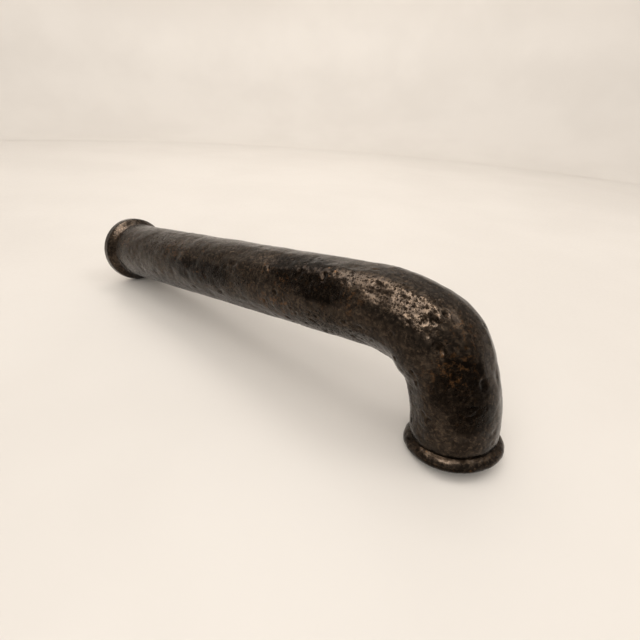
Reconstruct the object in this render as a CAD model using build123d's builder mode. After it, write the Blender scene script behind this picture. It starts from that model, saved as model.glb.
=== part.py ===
from build123d import *
import os
from math import cos, radians, sin

# Cast bronze wall spout: a long leg, a tight bend and a short leg, with a bead at each end.
# It slips over a brass adapter on the wall and carries a recessed aerator in its outlet.
# The origin is the centre of the wall face, +X runs out along the long leg, and +Z is up,
# so the outlet looks down.

# Centreline of the casting
STRAIGHT = 200.5        # wall face to the start of the bend
EASE_RADIUS = 58.0      # the gentle arc at each end of the bend
EASE_TURN = 20.0
TIGHT_RADIUS = 23.2     # the tight arc in the middle of the bend
TIGHT_TURN = 50.0
SHORT_LEG = 13.0        # end of the bend to the outlet face
BEND_ARCS = ((EASE_RADIUS, EASE_TURN), (TIGHT_RADIUS, TIGHT_TURN), (EASE_RADIUS, EASE_TURN))

# Outside of the casting
TUBE_RADIUS = 16.7
KNUCKLE_SWELL = 1.2     # the middle of the bend is this much fatter
SKIN_STEP = 5.0         # the bend's skin starts two steps back on the long leg
SKIN_TURNS = (0, 5, 10, 15, 20, 30, 40, 50, 60, 70, 75, 80, 85, 90)
# outside radius at this height above the outlet face
NECK = ((9.6, 16.6), (7.2, 16.5), (5.0, 16.2), (2.4, 16.0))

INLET_BEAD_RADIUS = 20.2
INLET_BEAD_EDGE = 1.3
INLET_CROWN_END = 4.9   # from here the bead falls away to the tube in a flare
INLET_FLARE_END = 10.8
OUTLET_BEAD_RADIUS = 18.8
OUTLET_BEAD_LENGTH = 5.2
OUTLET_BEAD_EDGE = 2.1

# Inside of the casting
WATERWAY_RADIUS = 10.5
SOCKET_RADIUS = 13.0    # machined socket for the adapter
SOCKET_DEPTH = 56.0
THREAD_RADIUS = 12.0    # M24 x 1 in the outlet
THREAD_DEPTH = 13.0
LEAD_IN = 0.6
GASKET_INNER = 14.6
GASKET_OUTER = 17.0
GASKET_THICK = 2.0
GASKET_GAP = 0.1

# Adapter on the wall
FIT_CLEARANCE = 0.05    # radial clearance of sliding and threaded fits
ADAPTER_LENGTH = 55.0
ADAPTER_RADIUS = SOCKET_RADIUS - FIT_CLEARANCE
ADAPTER_BORE = 7.0
NIPPLE_THREAD_RADIUS = 9.3
NIPPLE_THREAD_DEPTH = 15.0
NECK_START = 18.0       # groove that the set screw reaches into
NECK_END = 37.0
ADAPTER_NECK_RADIUS = 10.0
KEY_FLATS = 15.0        # hexagon across its flats
KEY_DEPTH = 9.0
O_RING_SECTION = 1.9
O_RING_OUTER = SOCKET_RADIUS - 0.03
O_RING_GROOVE_RADIUS = 11.0
O_RING_GROOVE_WIDTH = 2.6
O_RING_REAR_X = 42.0
O_RING_FRONT_X = 49.5

# Set screw
SCREW_X = 22.0
SCREW_HOLE_RADIUS = 3.0
SCREW_RADIUS = SCREW_HOLE_RADIUS - FIT_CLEARANCE
SCREW_LENGTH = 5.0
SCREW_KEY_FLATS = 3.0
SCREW_KEY_DEPTH = 2.4
SCREW_CHAMFER = 0.4
PAD_RADIUS = 2.6
PAD_LENGTH = 1.0
PAD_CLEARANCE = 0.3     # from the adapter's neck

# Aerator: every height is above the outlet face
HOUSING_RADIUS = THREAD_RADIUS - FIT_CLEARANCE
HOUSING_BORE = 10.3
HOUSING_LIP_RADIUS = 9.2
HOUSING_BOTTOM = 4.5
HOUSING_LIP_TOP = 5.7
HOUSING_TOP = 11.2
HOUSING_CHAMFER = 0.4
KEY_NOTCHES = 12
KEY_NOTCH_WIDTH = 1.6
KEY_NOTCH_HEIGHT = 0.9
KEY_NOTCH_FLOOR = 10.6  # radius that the notches are cut out to

CAGE_RADIUS = 10.1
CAGE_BORE = 9.0
CAGE_LEDGE_RADIUS = 8.4
CAGE_LEDGE_TOP = 6.5
CAGE_FLANGE_RADIUS = 11.6
CAGE_FLANGE_TOP = 11.9
JET_SEAT_RADIUS = 9.6
JET_SEAT = 10.6
AIR_WINDOWS = 6
AIR_WINDOW_WIDTH = 4.0
AIR_WINDOW_BOTTOM = 9.2
AIR_WINDOW_TOP = 10.3

INSERT_RADIUS = CAGE_BORE - FIT_CLEARANCE
OPEN_FIELD = 7.7        # openings are kept whose centres lie inside this radius
GRID_TOP = 8.1
GRID_CELL_RADIUS = 0.85
GRID_LAYOUT_RADIUS = 1.0
MESH_THICK = 0.25
MESH_PITCH = 1.2
MESH_HOLE = 0.8
LAYOUT_COUNT = 15       # rows and columns laid out before trimming to the open field
SPACER_BORE = 8.2
SPACER_THICK = 0.5
JET_RADIUS = JET_SEAT_RADIUS - FIT_CLEARANCE
JET_FLOOR = 11.3
JET_CUP_RADIUS = 8.4
JET_HOLE_RADIUS = 0.55
JET_RINGS = ((3.0, 6), (5.2, 12), (7.2, 18))

WASHER_OUTER = 11.65
WASHER_INNER = 10.2
STRAINER_RIM_RADIUS = 10.0
STRAINER_RIM_TOP = 12.4
STRAINER_DOME_RADIUS = 9.3
STRAINER_DOME_HEIGHT = 4.2
STRAINER_SKIN = 0.5
STRAINER_HOLE_RADIUS = 0.6
STRAINER_RINGS = ((2.2, 6), (4.3, 12), (6.4, 18))


def bend_point(turn):
    """Where the centreline has turned by this many degrees from +X towards -Z."""
    x, z, start = STRAIGHT, 0.0, 0.0
    for radius, arc in BEND_ARCS:
        a = radians(start)
        b = radians(start + min(max(turn - start, 0.0), arc))
        x += radius * (sin(b) - sin(a))
        z -= radius * (cos(a) - cos(b))
        start += arc
    return x, z


OUTLET_X, BEND_END_Z = bend_point(90.0)
OUTLET_Z = BEND_END_Z - SHORT_LEG


def outlet_plane(height):
    """Level plane this high above the outlet face, centred on the short leg."""
    return Plane((OUTLET_X, 0, OUTLET_Z + height))


def bend_plane(turn):
    """Plane square to the centreline where it has turned by this many degrees."""
    x, z = bend_point(turn)
    return Plane((x, 0, z), x_dir=(0, 1, 0), z_dir=(cos(radians(turn)), 0, -sin(radians(turn))))


def leg_plane(x):
    """Plane square to the long leg at this distance from the wall."""
    return Plane((x, 0, 0), x_dir=(0, 1, 0), z_dir=(1, 0, 0))


def knuckle_radius(turn):
    """Outside radius where the centreline has turned by this many degrees."""
    return TUBE_RADIUS + KNUCKLE_SWELL * sin(radians(2 * turn)) ** 4


skin_start = STRAIGHT - 2 * SKIN_STEP
skin_sections = [(leg_plane(x), TUBE_RADIUS) for x in (skin_start, skin_start + SKIN_STEP)]
skin_sections += [(bend_plane(turn), knuckle_radius(turn)) for turn in SKIN_TURNS]
skin_sections += [(outlet_plane(height), radius) for height, radius in NECK]

# Casting: one piece with both beads
with BuildPart() as cast_elbow:
    with BuildSketch(leg_plane(0)):
        Circle(TUBE_RADIUS)
    extrude(amount=skin_start)

    for plane, radius in skin_sections:
        with BuildSketch(plane):
            Circle(radius)
    loft()

    with BuildSketch(Plane.XZ):
        with BuildLine():
            face = Line((0, 0), (0, INLET_BEAD_RADIUS - INLET_BEAD_EDGE))
            edge = JernArc(face @ 1, face % 1, INLET_BEAD_EDGE, -90)
            crown = Line(edge @ 1, (INLET_CROWN_END, INLET_BEAD_RADIUS))
            flare = Spline(crown @ 1, (INLET_FLARE_END, TUBE_RADIUS), tangents=((1, 0), (1, 0)))
            Polyline(flare @ 1, (INLET_FLARE_END, 0), (0, 0))
        make_face()
    revolve(axis=Axis.X)

    with BuildSketch(outlet_plane(0)):
        Circle(OUTLET_BEAD_RADIUS)
    extrude(amount=OUTLET_BEAD_LENGTH)
    rims = cast_elbow.edges().filter_by(GeomType.CIRCLE)
    rims = rims.filter_by(lambda e: abs(e.radius - OUTLET_BEAD_RADIUS) < 0.01)
    fillet(rims, OUTLET_BEAD_EDGE)

    # cored waterway
    with BuildLine(Plane.XZ) as waterway:
        run = Line((-1, 0), (STRAIGHT, 0))
        for radius, arc in BEND_ARCS:
            run = JernArc(run @ 1, run % 1, radius, -arc)
        Line(run @ 1, (OUTLET_X, OUTLET_Z - 1))
    with BuildSketch(leg_plane(-1)):
        Circle(WATERWAY_RADIUS)
    sweep(path=waterway.wires()[0], mode=Mode.SUBTRACT)

    # machined socket for the adapter, thread for the aerator, recess for the gasket
    with BuildSketch(leg_plane(0)):
        Circle(SOCKET_RADIUS)
    extrude(amount=SOCKET_DEPTH, mode=Mode.SUBTRACT)
    with BuildSketch(outlet_plane(0)):
        Circle(THREAD_RADIUS)
    extrude(amount=THREAD_DEPTH, mode=Mode.SUBTRACT)
    with BuildSketch(leg_plane(0)):
        Circle(GASKET_OUTER)
        Circle(GASKET_INNER, mode=Mode.SUBTRACT)
    extrude(amount=GASKET_THICK, mode=Mode.SUBTRACT)
    with BuildSketch(Plane.XY.offset(-SOCKET_RADIUS + 1)):
        with Locations((SCREW_X, 0)):
            Circle(SCREW_HOLE_RADIUS)
    extrude(amount=-(TUBE_RADIUS - SOCKET_RADIUS + 2), mode=Mode.SUBTRACT)
    rims = cast_elbow.edges().filter_by(GeomType.CIRCLE)
    socket_mouth = rims.filter_by(lambda e: abs(e.radius - SOCKET_RADIUS) < 0.01).sort_by(Axis.X)[0]
    thread_mouth = rims.filter_by(lambda e: abs(e.radius - THREAD_RADIUS) < 0.01).sort_by(Axis.Z)[0]
    chamfer([socket_mouth, thread_mouth], LEAD_IN)
cast_elbow.part.label = "cast_elbow"

# Adapter: the wall nipple screws into its back, the set screw reaches into its neck
with BuildPart() as wall_adapter:
    with BuildSketch(Plane.XZ):
        with BuildLine():
            Polyline(
                (0, NIPPLE_THREAD_RADIUS),
                (0, ADAPTER_RADIUS),
                (NECK_START, ADAPTER_RADIUS),
                (NECK_START, ADAPTER_NECK_RADIUS),
                (NECK_END, ADAPTER_NECK_RADIUS),
                (NECK_END, ADAPTER_RADIUS),
                (ADAPTER_LENGTH, ADAPTER_RADIUS),
                (ADAPTER_LENGTH, ADAPTER_BORE),
                (NIPPLE_THREAD_DEPTH, ADAPTER_BORE),
                (NIPPLE_THREAD_DEPTH, NIPPLE_THREAD_RADIUS),
                close=True,
            )
        make_face()
        for x in (O_RING_REAR_X, O_RING_FRONT_X):
            with Locations((x, O_RING_GROOVE_RADIUS)):
                Rectangle(O_RING_GROOVE_WIDTH, 4, align=(Align.CENTER, Align.MIN), mode=Mode.SUBTRACT)
    revolve(axis=Axis.X)
    with BuildSketch(leg_plane(ADAPTER_LENGTH)):
        RegularPolygon(KEY_FLATS / 2, 6, major_radius=False)
    extrude(amount=-KEY_DEPTH, mode=Mode.SUBTRACT)
    ends = wall_adapter.edges().filter_by(GeomType.CIRCLE)
    ends = ends.filter_by(lambda e: abs(e.radius - ADAPTER_RADIUS) < 0.001)
    chamfer(ends.group_by(Axis.X)[-1], LEAD_IN)
wall_adapter.part.label = "wall_adapter"

o_rings = []
for place, x in (("rear", O_RING_REAR_X), ("front", O_RING_FRONT_X)):
    with BuildPart() as o_ring:
        with BuildSketch(Plane.XZ):
            with Locations((x, O_RING_OUTER - O_RING_SECTION / 2)):
                Circle(O_RING_SECTION / 2)
        revolve(axis=Axis.X)
    o_ring.part.label = f"adapter_o_ring_{place}"
    o_rings.append(o_ring.part)

# Soft ring between the inlet bead and the wall
with BuildPart() as wall_gasket:
    with BuildSketch(leg_plane(0)):
        Circle(GASKET_OUTER - GASKET_GAP)
        Circle(GASKET_INNER + GASKET_GAP, mode=Mode.SUBTRACT)
    extrude(amount=GASKET_THICK)
wall_gasket.part.label = "wall_gasket"

# Grub screw under the long leg, and the soft pad between its point and the adapter's neck
pad_top = -ADAPTER_NECK_RADIUS - PAD_CLEARANCE
with BuildPart() as set_screw_pad:
    with BuildSketch(Plane.XY.offset(pad_top)):
        with Locations((SCREW_X, 0)):
            Circle(PAD_RADIUS)
    extrude(amount=-PAD_LENGTH)
set_screw_pad.part.label = "set_screw_pad"

with BuildPart() as set_screw:
    with BuildSketch(Plane.XY.offset(pad_top - PAD_LENGTH)):
        with Locations((SCREW_X, 0)):
            Circle(SCREW_RADIUS)
    extrude(amount=-SCREW_LENGTH)
    chamfer(set_screw.edges().filter_by(GeomType.CIRCLE), SCREW_CHAMFER)
    with BuildSketch(Plane.XY.offset(pad_top - PAD_LENGTH - SCREW_LENGTH)):
        with Locations((SCREW_X, 0)):
            RegularPolygon(SCREW_KEY_FLATS / 2, 6, major_radius=False)
    extrude(amount=SCREW_KEY_DEPTH, mode=Mode.SUBTRACT)
set_screw.part.label = "set_screw"

# Aerator shell: thread outside, lip inside, notches for its key
with BuildPart() as aerator_housing:
    with BuildSketch(outlet_plane(HOUSING_BOTTOM)):
        Circle(HOUSING_RADIUS)
    extrude(amount=HOUSING_TOP - HOUSING_BOTTOM)
    chamfer(aerator_housing.edges().filter_by(GeomType.CIRCLE), HOUSING_CHAMFER)
    with BuildSketch(outlet_plane(HOUSING_TOP)):
        Circle(HOUSING_BORE)
    extrude(amount=HOUSING_LIP_TOP - HOUSING_TOP, mode=Mode.SUBTRACT)
    with BuildSketch(outlet_plane(HOUSING_BOTTOM)):
        Circle(HOUSING_LIP_RADIUS)
    extrude(amount=HOUSING_TOP - HOUSING_BOTTOM, mode=Mode.SUBTRACT)
    with BuildSketch(outlet_plane(HOUSING_BOTTOM)):
        with PolarLocations(HOUSING_LIP_RADIUS, KEY_NOTCHES):
            Rectangle(2 * (KEY_NOTCH_FLOOR - HOUSING_LIP_RADIUS), KEY_NOTCH_WIDTH)
    extrude(amount=KEY_NOTCH_HEIGHT, mode=Mode.SUBTRACT)
aerator_housing.part.label = "aerator_housing"

# Insert: a cage that holds the jet plate, the two meshes and the outlet grid
with BuildPart() as aerator_cage:
    with BuildSketch(outlet_plane(HOUSING_LIP_TOP)):
        Circle(CAGE_RADIUS)
    extrude(amount=CAGE_FLANGE_TOP - HOUSING_LIP_TOP)
    with BuildSketch(outlet_plane(HOUSING_TOP)):
        Circle(CAGE_FLANGE_RADIUS)
    extrude(amount=CAGE_FLANGE_TOP - HOUSING_TOP)
    with BuildSketch(outlet_plane(JET_SEAT)):
        Circle(JET_SEAT_RADIUS)
    extrude(amount=CAGE_FLANGE_TOP - JET_SEAT, mode=Mode.SUBTRACT)
    with BuildSketch(outlet_plane(CAGE_LEDGE_TOP)):
        Circle(CAGE_BORE)
    extrude(amount=JET_SEAT - CAGE_LEDGE_TOP, mode=Mode.SUBTRACT)
    with BuildSketch(outlet_plane(HOUSING_LIP_TOP)):
        Circle(CAGE_LEDGE_RADIUS)
    extrude(amount=CAGE_LEDGE_TOP - HOUSING_LIP_TOP, mode=Mode.SUBTRACT)
    with BuildSketch(outlet_plane(AIR_WINDOW_BOTTOM)):
        with PolarLocations(CAGE_RADIUS, AIR_WINDOWS):
            Rectangle(4 * (CAGE_RADIUS - CAGE_BORE), AIR_WINDOW_WIDTH)
    extrude(amount=AIR_WINDOW_TOP - AIR_WINDOW_BOTTOM, mode=Mode.SUBTRACT)
aerator_cage.part.label = "aerator_cage"


def open_field(layout):
    """The places of a layout that lie inside the open middle of the insert."""
    return [place for place in layout.local_locations if place.position.length < OPEN_FIELD]


with BuildPart() as outlet_grid:
    with BuildSketch(outlet_plane(CAGE_LEDGE_TOP)):
        Circle(INSERT_RADIUS)
        with Locations(*open_field(HexLocations(GRID_LAYOUT_RADIUS, LAYOUT_COUNT, LAYOUT_COUNT))):
            RegularPolygon(GRID_CELL_RADIUS, 6, rotation=30, mode=Mode.SUBTRACT)
    extrude(amount=GRID_TOP - CAGE_LEDGE_TOP)
outlet_grid.part.label = "outlet_grid"

spacer_bottom = GRID_TOP + MESH_THICK
spacer_top = spacer_bottom + SPACER_THICK
mesh_discs = []
for place, height in (("lower", GRID_TOP), ("upper", spacer_top)):
    with BuildPart() as mesh_disc:
        with BuildSketch(outlet_plane(height)):
            Circle(INSERT_RADIUS)
            with Locations(*open_field(GridLocations(MESH_PITCH, MESH_PITCH, LAYOUT_COUNT, LAYOUT_COUNT))):
                Rectangle(MESH_HOLE, MESH_HOLE, mode=Mode.SUBTRACT)
        extrude(amount=MESH_THICK)
    mesh_disc.part.label = f"mesh_disc_{place}"
    mesh_discs.append(mesh_disc.part)

with BuildPart() as mesh_spacer:
    with BuildSketch(outlet_plane(spacer_bottom)):
        Circle(INSERT_RADIUS)
        Circle(SPACER_BORE, mode=Mode.SUBTRACT)
    extrude(amount=SPACER_THICK)
mesh_spacer.part.label = "mesh_spacer"

with BuildPart() as jet_plate:
    with BuildSketch(outlet_plane(JET_SEAT)):
        Circle(JET_RADIUS)
    extrude(amount=CAGE_FLANGE_TOP - JET_SEAT)
    with BuildSketch(outlet_plane(JET_FLOOR)):
        Circle(JET_CUP_RADIUS)
    extrude(amount=CAGE_FLANGE_TOP - JET_FLOOR, mode=Mode.SUBTRACT)
    with BuildSketch(outlet_plane(JET_SEAT)):
        for ring, count in JET_RINGS:
            with PolarLocations(ring, count):
                Circle(JET_HOLE_RADIUS)
    extrude(amount=JET_FLOOR - JET_SEAT, mode=Mode.SUBTRACT)
jet_plate.part.label = "jet_plate"

# Strainer: a perforated spherical cap on a flat rim
dome_ball = (STRAINER_DOME_RADIUS**2 + STRAINER_DOME_HEIGHT**2) / (2 * STRAINER_DOME_HEIGHT)
dome_centre = STRAINER_RIM_TOP + STRAINER_DOME_HEIGHT - dome_ball
with BuildPart() as dome_strainer:
    with Locations(outlet_plane(dome_centre)):
        Sphere(dome_ball)
    split(bisect_by=outlet_plane(STRAINER_RIM_TOP))
    with BuildSketch(outlet_plane(CAGE_FLANGE_TOP)):
        Circle(STRAINER_RIM_RADIUS)
    extrude(amount=STRAINER_RIM_TOP - CAGE_FLANGE_TOP)
    with Locations(outlet_plane(dome_centre)):
        Sphere(dome_ball - STRAINER_SKIN, mode=Mode.SUBTRACT)
    with BuildSketch(outlet_plane(STRAINER_RIM_TOP)):
        Circle(STRAINER_HOLE_RADIUS)
        for ring, count in STRAINER_RINGS:
            with PolarLocations(ring, count):
                Circle(STRAINER_HOLE_RADIUS)
    extrude(amount=STRAINER_DOME_HEIGHT + 1, mode=Mode.SUBTRACT)
dome_strainer.part.label = "dome_strainer"

# Flat washer between the insert and the shoulder in the casting
with BuildPart() as aerator_washer:
    with BuildSketch(outlet_plane(CAGE_FLANGE_TOP)):
        Circle(WASHER_OUTER)
        Circle(WASHER_INNER, mode=Mode.SUBTRACT)
    extrude(amount=THREAD_DEPTH - CAGE_FLANGE_TOP)
aerator_washer.part.label = "aerator_washer"

os.makedirs("parts", exist_ok=True)
pieces = [cast_elbow, wall_adapter, wall_gasket, set_screw_pad, set_screw, aerator_housing, aerator_cage]
pieces += [outlet_grid, mesh_spacer, jet_plate, dome_strainer, aerator_washer]
for solid in [piece.part for piece in pieces] + o_rings + mesh_discs:
    export_step(solid, f"parts/{solid.label}.step")
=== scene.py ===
import itertools
from math import cos, pi, radians, sin

import bpy
import numpy as np
from mathutils import Matrix, Vector


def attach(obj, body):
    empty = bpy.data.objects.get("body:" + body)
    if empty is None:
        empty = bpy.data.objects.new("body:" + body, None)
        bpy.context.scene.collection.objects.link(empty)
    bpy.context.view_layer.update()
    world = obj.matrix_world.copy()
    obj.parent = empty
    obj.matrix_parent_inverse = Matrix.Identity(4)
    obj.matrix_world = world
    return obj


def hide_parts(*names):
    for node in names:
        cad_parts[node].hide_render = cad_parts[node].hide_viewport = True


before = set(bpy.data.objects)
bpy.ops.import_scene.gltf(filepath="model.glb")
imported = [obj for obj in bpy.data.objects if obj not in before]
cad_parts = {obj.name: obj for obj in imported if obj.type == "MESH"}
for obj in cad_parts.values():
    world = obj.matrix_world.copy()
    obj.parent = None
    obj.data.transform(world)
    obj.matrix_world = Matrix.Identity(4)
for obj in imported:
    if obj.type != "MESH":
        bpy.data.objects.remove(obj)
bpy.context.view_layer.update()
MM = 0.001

# Casting, in mm, as in the CAD part: its centreline runs along +X, bends down and ends looking along -Z
STRAIGHT = 200.5
BEND_ARCS = ((58.0, 20.0), (23.2, 50.0), (58.0, 20.0))    # radius, degrees of turn
SHORT_LEG = 13.0
BEND_LENGTH = sum(radius * radians(turn) for radius, turn in BEND_ARCS)
OUTLET = STRAIGHT + BEND_LENGTH + SHORT_LEG               # station of the outlet face

TUBE_RADIUS = 16.7
KNUCKLE_SWELL = 1.2
INLET_BEAD_RADIUS = 20.2
INLET_EDGE = 1.3
INLET_CROWN_END = 4.9
INLET_FLARE_END = 10.8
OUTLET_BEAD_RADIUS = 18.8
OUTLET_BEAD_LENGTH = 5.2
OUTLET_EDGE = 2.1
CREASE_RADIUS = 16.2
GASKET_RECESS = (14.6, 17.0, 2.0)                         # inner radius, outer radius, depth
SOCKET_RADIUS = 13.0
SOCKET_DEPTH = 56.0
WATERWAY_RADIUS = 10.5
THREAD_RADIUS = 12.0
THREAD_DEPTH = 13.0
THREAD_PITCH = 1.0
THREAD_HEIGHT = 0.5
LEAD_IN = 0.6
SCREW_STATION = 22.0
SCREW_HOLE_RADIUS = 3.0
SCREW_CUTTER_DEPTH = 10.0
SCREW_CUTTER_HEIGHT = -16.0                               # middle of the cutter, under the leg

# Adapter, in mm, with heights along +X from the wall face
ADAPTER_RADIUS = 12.95
ADAPTER_LENGTH = 55.0
ADAPTER_BORE = 7.0
ADAPTER_NECK = (18.0, 37.0, 10.0)                         # start, end, radius
O_RING_GROOVES = ((40.7, 43.3), (48.2, 50.8))             # start, end
O_RING_GROOVE_RADIUS = 11.0
NIPPLE_RADIUS = 9.3
NIPPLE_DEPTH = 15.0
NIPPLE_PITCH = 1.4
NIPPLE_THREAD_HEIGHT = 0.75
NIPPLE_LEAD_IN = 0.6
KEY_FLATS = 15.0                                          # hexagon across its flats
KEY_START = 46.0

# Set screw, in mm, with heights along +Z from the axis of the long leg
SCREW_RADIUS = 2.95
SCREW_BOTTOM = -16.3
SCREW_TOP = -11.3
SCREW_PITCH = 1.0
SCREW_THREAD_HEIGHT = 0.45
SCREW_KEY_FLATS = 3.0
SCREW_KEY_FLOOR = -13.9
SCREW_KEY_CONE = -13.5

# Aerator, in mm, with heights up from the outlet face
SHELL_BOTTOM = 4.5
SHELL_TOP = 11.2
SHELL_RADIUS = 11.95
SHELL_CHAMFER = 0.45
SHELL_BORE = 10.3
SHELL_LIP_RADIUS = 9.2
SHELL_LIP_TOP = 5.7
NOTCHES = 12
NOTCH_WIDTH = 1.6
NOTCH_FLOOR = 10.6
CLOTH_RIM = (8.4, 8.95, 0.25)                             # inner radius, outer radius, thickness
CLOTH_RIM_AROUND = 120
WIRE_RADIUS = 0.055
WIRE_PITCH = 0.6
WIRE_REACH = 8.5
WIRE_SIDES = 6
WIRE_WAVE = 0.062

# Mesh density of the casting
AROUND = 200
COARSE_STEP = 1.3
FINE_STEP = 0.53
FINE_FROM = 150.0


# ---------------------------------------------------------------- noise and shapes

def gradient_noise(points, size, seed):
    """Smooth noise of about -1 to 1 at points (N, 3), with bumps about size across."""
    rng = np.random.default_rng(seed)
    slopes = rng.normal(size=(256, 3))
    slopes /= np.linalg.norm(slopes, axis=1, keepdims=True)
    shuffle = rng.permutation(256)
    cell = np.floor(points / size).astype(int)
    inside = points / size - cell
    ease = inside ** 3 * (inside * (inside * 6 - 15) + 10)
    total = np.zeros(len(points))
    for corner in itertools.product((0, 1), repeat=3):
        here = cell + corner
        index = shuffle[here[:, 0] & 255]
        index = shuffle[(index + here[:, 1]) & 255]
        index = shuffle[(index + here[:, 2]) & 255]
        share = np.prod(np.where(corner, ease, 1 - ease), axis=1)
        total += share * np.sum(slopes[index] * (inside - corner), axis=1)
    return total * 1.7


def smooth_step(value, low, high):
    """0 below low, 1 above high, and smooth between them; low may be above high."""
    share = np.clip((value - low) / (high - low), 0, 1)
    return share * share * (3 - 2 * share)


def centreline(station):
    """Centre points (N, 3) and turn (N,) of the casting at these stations."""
    station = np.asarray(station, float)
    x = np.minimum(station, STRAIGHT)
    z = np.zeros_like(x)
    turn = np.zeros_like(x)
    left = station - STRAIGHT
    for radius, degrees in BEND_ARCS:
        arc = radius * radians(degrees)
        step = np.clip(left, 0, arc) / radius
        x = x + radius * (np.sin(turn + step) - np.sin(turn))
        z = z - radius * (np.cos(turn) - np.cos(turn + step))
        turn = turn + step
        left = left - arc
    z = z - np.clip(left, 0, None)
    return np.stack([x, np.zeros_like(x), z], axis=-1), turn


def axes_at(turn, angle):
    """Directions along, outwards and around at this turn and angle; angle 0 is the top, 90 degrees is -Y."""
    along = np.stack([np.cos(turn), 0 * turn, -np.sin(turn)], axis=-1)
    top = np.stack([np.sin(turn), 0 * turn, np.cos(turn)], axis=-1)
    side = np.array([0.0, -1.0, 0.0])
    out = np.cos(angle)[..., None] * top + np.sin(angle)[..., None] * side
    around = np.cos(angle)[..., None] * side - np.sin(angle)[..., None] * top
    return along, out, around


def skin_radius(station):
    """Radius of the cast skin from the end of the inlet flare to the crease above the outlet bead."""
    _, turn = centreline(station)
    swell = KNUCKLE_SWELL * np.sin(2 * turn) ** 4
    neck = np.clip((station - (OUTLET - SHORT_LEG)) / (SHORT_LEG - OUTLET_BEAD_LENGTH), 0, 1) ** 3
    return TUBE_RADIUS + swell - (TUBE_RADIUS - CREASE_RADIUS) * neck


def spaced(start, stop, step):
    """Values from start to stop, about step apart, both ends included."""
    count = max(1, round(abs(stop - start) / step))
    return np.linspace(start, stop, count + 1)


def casting_profile():
    """Closed outline of the casting's wall as (station, radius) rows, and the number of rows of cast skin."""
    rows = []

    def line(to_station, to_radius, step):
        station, radius = rows[-1]
        length = np.hypot(to_station - station, to_radius - radius)
        share = spaced(0, 1, step / length)[1:]
        rows.extend(zip(station + share * (to_station - station), radius + share * (to_radius - radius)))

    def quarter(centre_station, centre_radius, size, first, last, count):
        for angle in np.radians(np.linspace(first, last, count + 1)[1:]):
            rows.append((centre_station - size * cos(angle), centre_radius + size * sin(angle)))

    rows.append((0.0, INLET_BEAD_RADIUS - INLET_EDGE))
    quarter(INLET_EDGE, INLET_BEAD_RADIUS - INLET_EDGE, INLET_EDGE, 0, 90, 5)
    line(INLET_CROWN_END, INLET_BEAD_RADIUS, 0.7)
    for share in spaced(0, 1, 1 / 9)[1:]:
        station = INLET_CROWN_END + share * (INLET_FLARE_END - INLET_CROWN_END)
        fall = share * share * (3 - 2 * share)
        rows.append((station, INLET_BEAD_RADIUS - fall * (INLET_BEAD_RADIUS - TUBE_RADIUS)))
    crease = OUTLET - OUTLET_BEAD_LENGTH
    stations = np.concatenate([spaced(INLET_FLARE_END, FINE_FROM, COARSE_STEP)[1:],
                               spaced(FINE_FROM, crease, FINE_STEP)[1:]])
    rows.extend(zip(stations, skin_radius(stations)))
    # the upper half of the bead slopes out from the crease, then rounds over
    steepest = radians(66)
    for lean in np.radians(np.linspace(66, 0, 10)[1:]):
        rise = (OUTLET_BEAD_LENGTH - OUTLET_EDGE) * sin(lean) / sin(steepest)
        bulge = (OUTLET_BEAD_RADIUS - CREASE_RADIUS) * (cos(lean) - cos(steepest)) / (1 - cos(steepest))
        rows.append((OUTLET - OUTLET_EDGE - rise, CREASE_RADIUS + bulge))
    quarter(OUTLET - OUTLET_EDGE, OUTLET_BEAD_RADIUS - OUTLET_EDGE, OUTLET_EDGE, 90, 180, 7)
    line(OUTLET, THREAD_RADIUS + LEAD_IN, 0.8)
    skin_rows = len(rows)
    line(OUTLET - LEAD_IN, THREAD_RADIUS, 0.9)
    line(OUTLET - THREAD_DEPTH, THREAD_RADIUS, 0.22)
    line(OUTLET - THREAD_DEPTH, WATERWAY_RADIUS, 2)
    line(STRAIGHT, WATERWAY_RADIUS, 4)
    line(SOCKET_DEPTH, WATERWAY_RADIUS, 30)
    line(SOCKET_DEPTH, SOCKET_RADIUS, 3)
    line(LEAD_IN, SOCKET_RADIUS, 12)
    line(0, SOCKET_RADIUS + LEAD_IN, 1)
    inner, outer, depth = GASKET_RECESS
    line(0, inner, 2)
    line(depth, inner, 3)
    line(depth, outer, 3)
    line(0, outer, 3)
    return np.array(rows), skin_rows


# ---------------------------------------------------------------- the cast and hammered surface

# Flats left by the hammer: station, angle, half length, half angle, how flat (mm, degrees; 1 is a full chord)
FLATS = (
    (221, 48, 24, 17, 1.0),
    (232, 5, 20, 15, 0.7),
    (196, 8, 30, 16, 0.6),
    (244, 62, 12, 16, 0.8),
    (176, 62, 22, 16, 0.8),
    (142, 30, 26, 17, 0.6),
    (108, 64, 24, 16, 0.7),
    (66, 26, 26, 17, 0.6),
    (252, 118, 14, 16, 0.7),
    (205, 128, 22, 18, 0.6),
    (128, 128, 30, 16, 0.6),
    (236, -62, 22, 18, 0.8),
    (186, -55, 30, 18, 0.7),
    (120, -40, 34, 18, 0.6),
    (62, -70, 30, 16, 0.7),
    (150, -120, 34, 18, 0.6),
    (90, 172, 34, 18, 0.6),
)

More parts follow.
